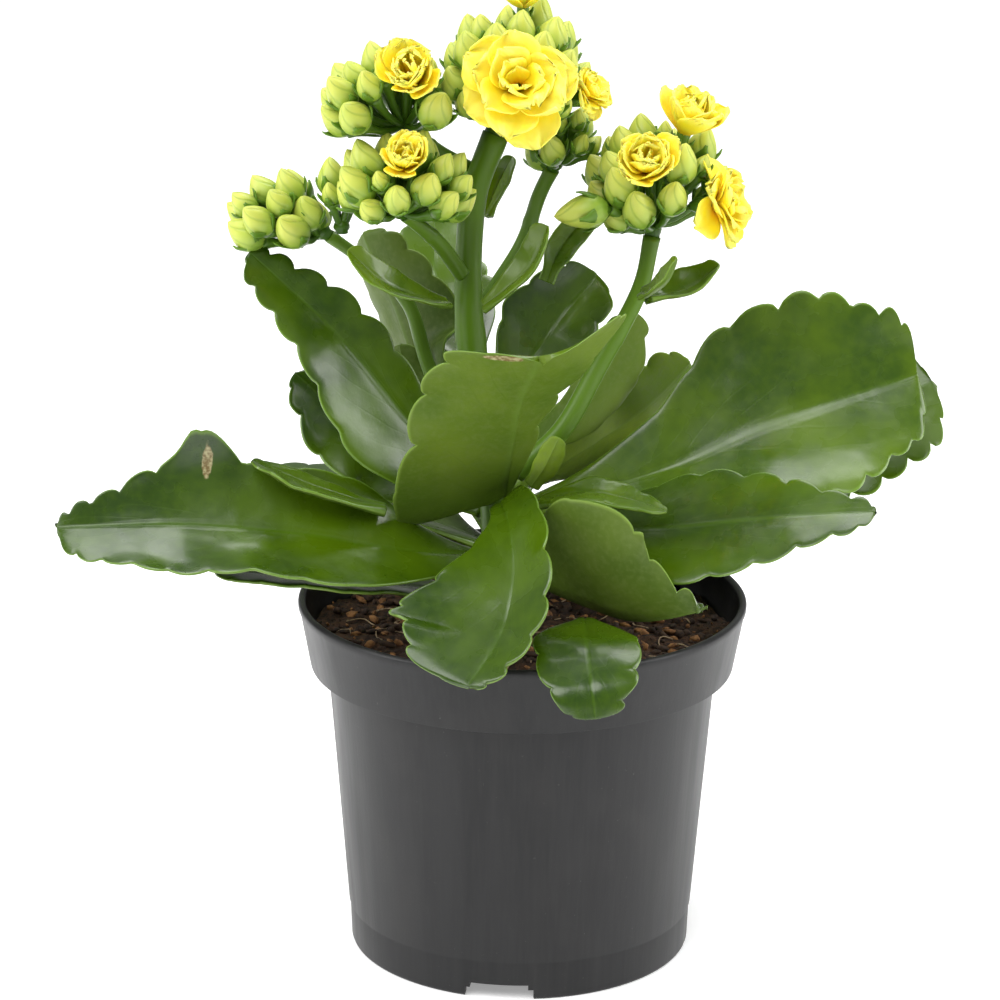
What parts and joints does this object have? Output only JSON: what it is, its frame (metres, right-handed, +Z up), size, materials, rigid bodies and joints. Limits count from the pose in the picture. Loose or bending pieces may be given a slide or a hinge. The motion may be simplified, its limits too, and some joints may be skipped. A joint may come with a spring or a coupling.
{
  "type": "potted kalanchoe",
  "caption": "Flowering succulent house plant with broad scalloped leaves and yellow double flowers, growing in a thin round plastic nursery pot of soil",
  "frame": {"origin": "middle of the pot's underside, on the flat pad at its centre", "axes": "+Z up, the way the plant grows; +X to the plant's right seen from its front; -Y towards its front, the side the best flowers face"},
  "size_m": [0.2059, 0.142, 0.2267],
  "materials": {
    "pot_plastic": "dark grey injection-moulded polypropylene, satin, with fine vertical streaks",
    "soil": "loose brown potting soil with bark granules and fibres",
    "stem": "smooth green plant stem",
    "leaf": "fleshy leaf, glossy dark green above, matt grey-green beneath",
    "bract": "small smooth fresh green leaf",
    "bud": "closed pale yellow-green flower bud with green sepals",
    "petal": "soft bright yellow petal"
  },
  "bodies": {
    "root": {"pot": "pot_plastic", "soil": "soil", "main_stem": "stem", "right_peduncle": "stem", "left_peduncle": "stem", "front_peduncle": "stem", "back_peduncle": "stem", "upper_left_peduncle": "stem", "left_leaf": "leaf", "tall_left_leaf": "leaf", "behind_left_leaf": "leaf", "back_left_leaf": "leaf", "back_right_leaf": "leaf", "front_center_leaf": "leaf", "left_inner_leaf": "leaf", "right_shade_leaf": "leaf", "right_bright_leaf": "leaf", "right_big_leaf": "leaf", "far_right_leaf": "leaf", "right_low_leaf": "leaf", "right_small_leaf": "leaf", "right_folded_leaf": "leaf", "front_left_leaf": "leaf", "front_small_leaf": "leaf", "low_left_leaf": "leaf", "edge_left_leaf": "leaf", "axil_leaf": "leaf", "back_leaf": "leaf", "back_low_left_leaf": "leaf", "back_low_right_leaf": "leaf", "back_upright_leaf": "leaf", "bract_a": "bract", "bract_b": "bract", "bract_c": "bract", "bract_d": "bract", "bract_e": "bract", "bract_f": "bract", "head_top": "bud", "head_upper_left": "bud", "head_front": "bud", "head_left": "bud", "head_left_small": "bud", "head_right": "bud", "head_back": "bud", "flower_upper_left": "petal", "flower_top": "petal", "flower_crown": "petal", "flower_top_right": "petal", "flower_front": "petal", "flower_right_cup": "petal", "flower_right_upper": "petal", "flower_right_side": "petal"}
  },
  "joints": []
}
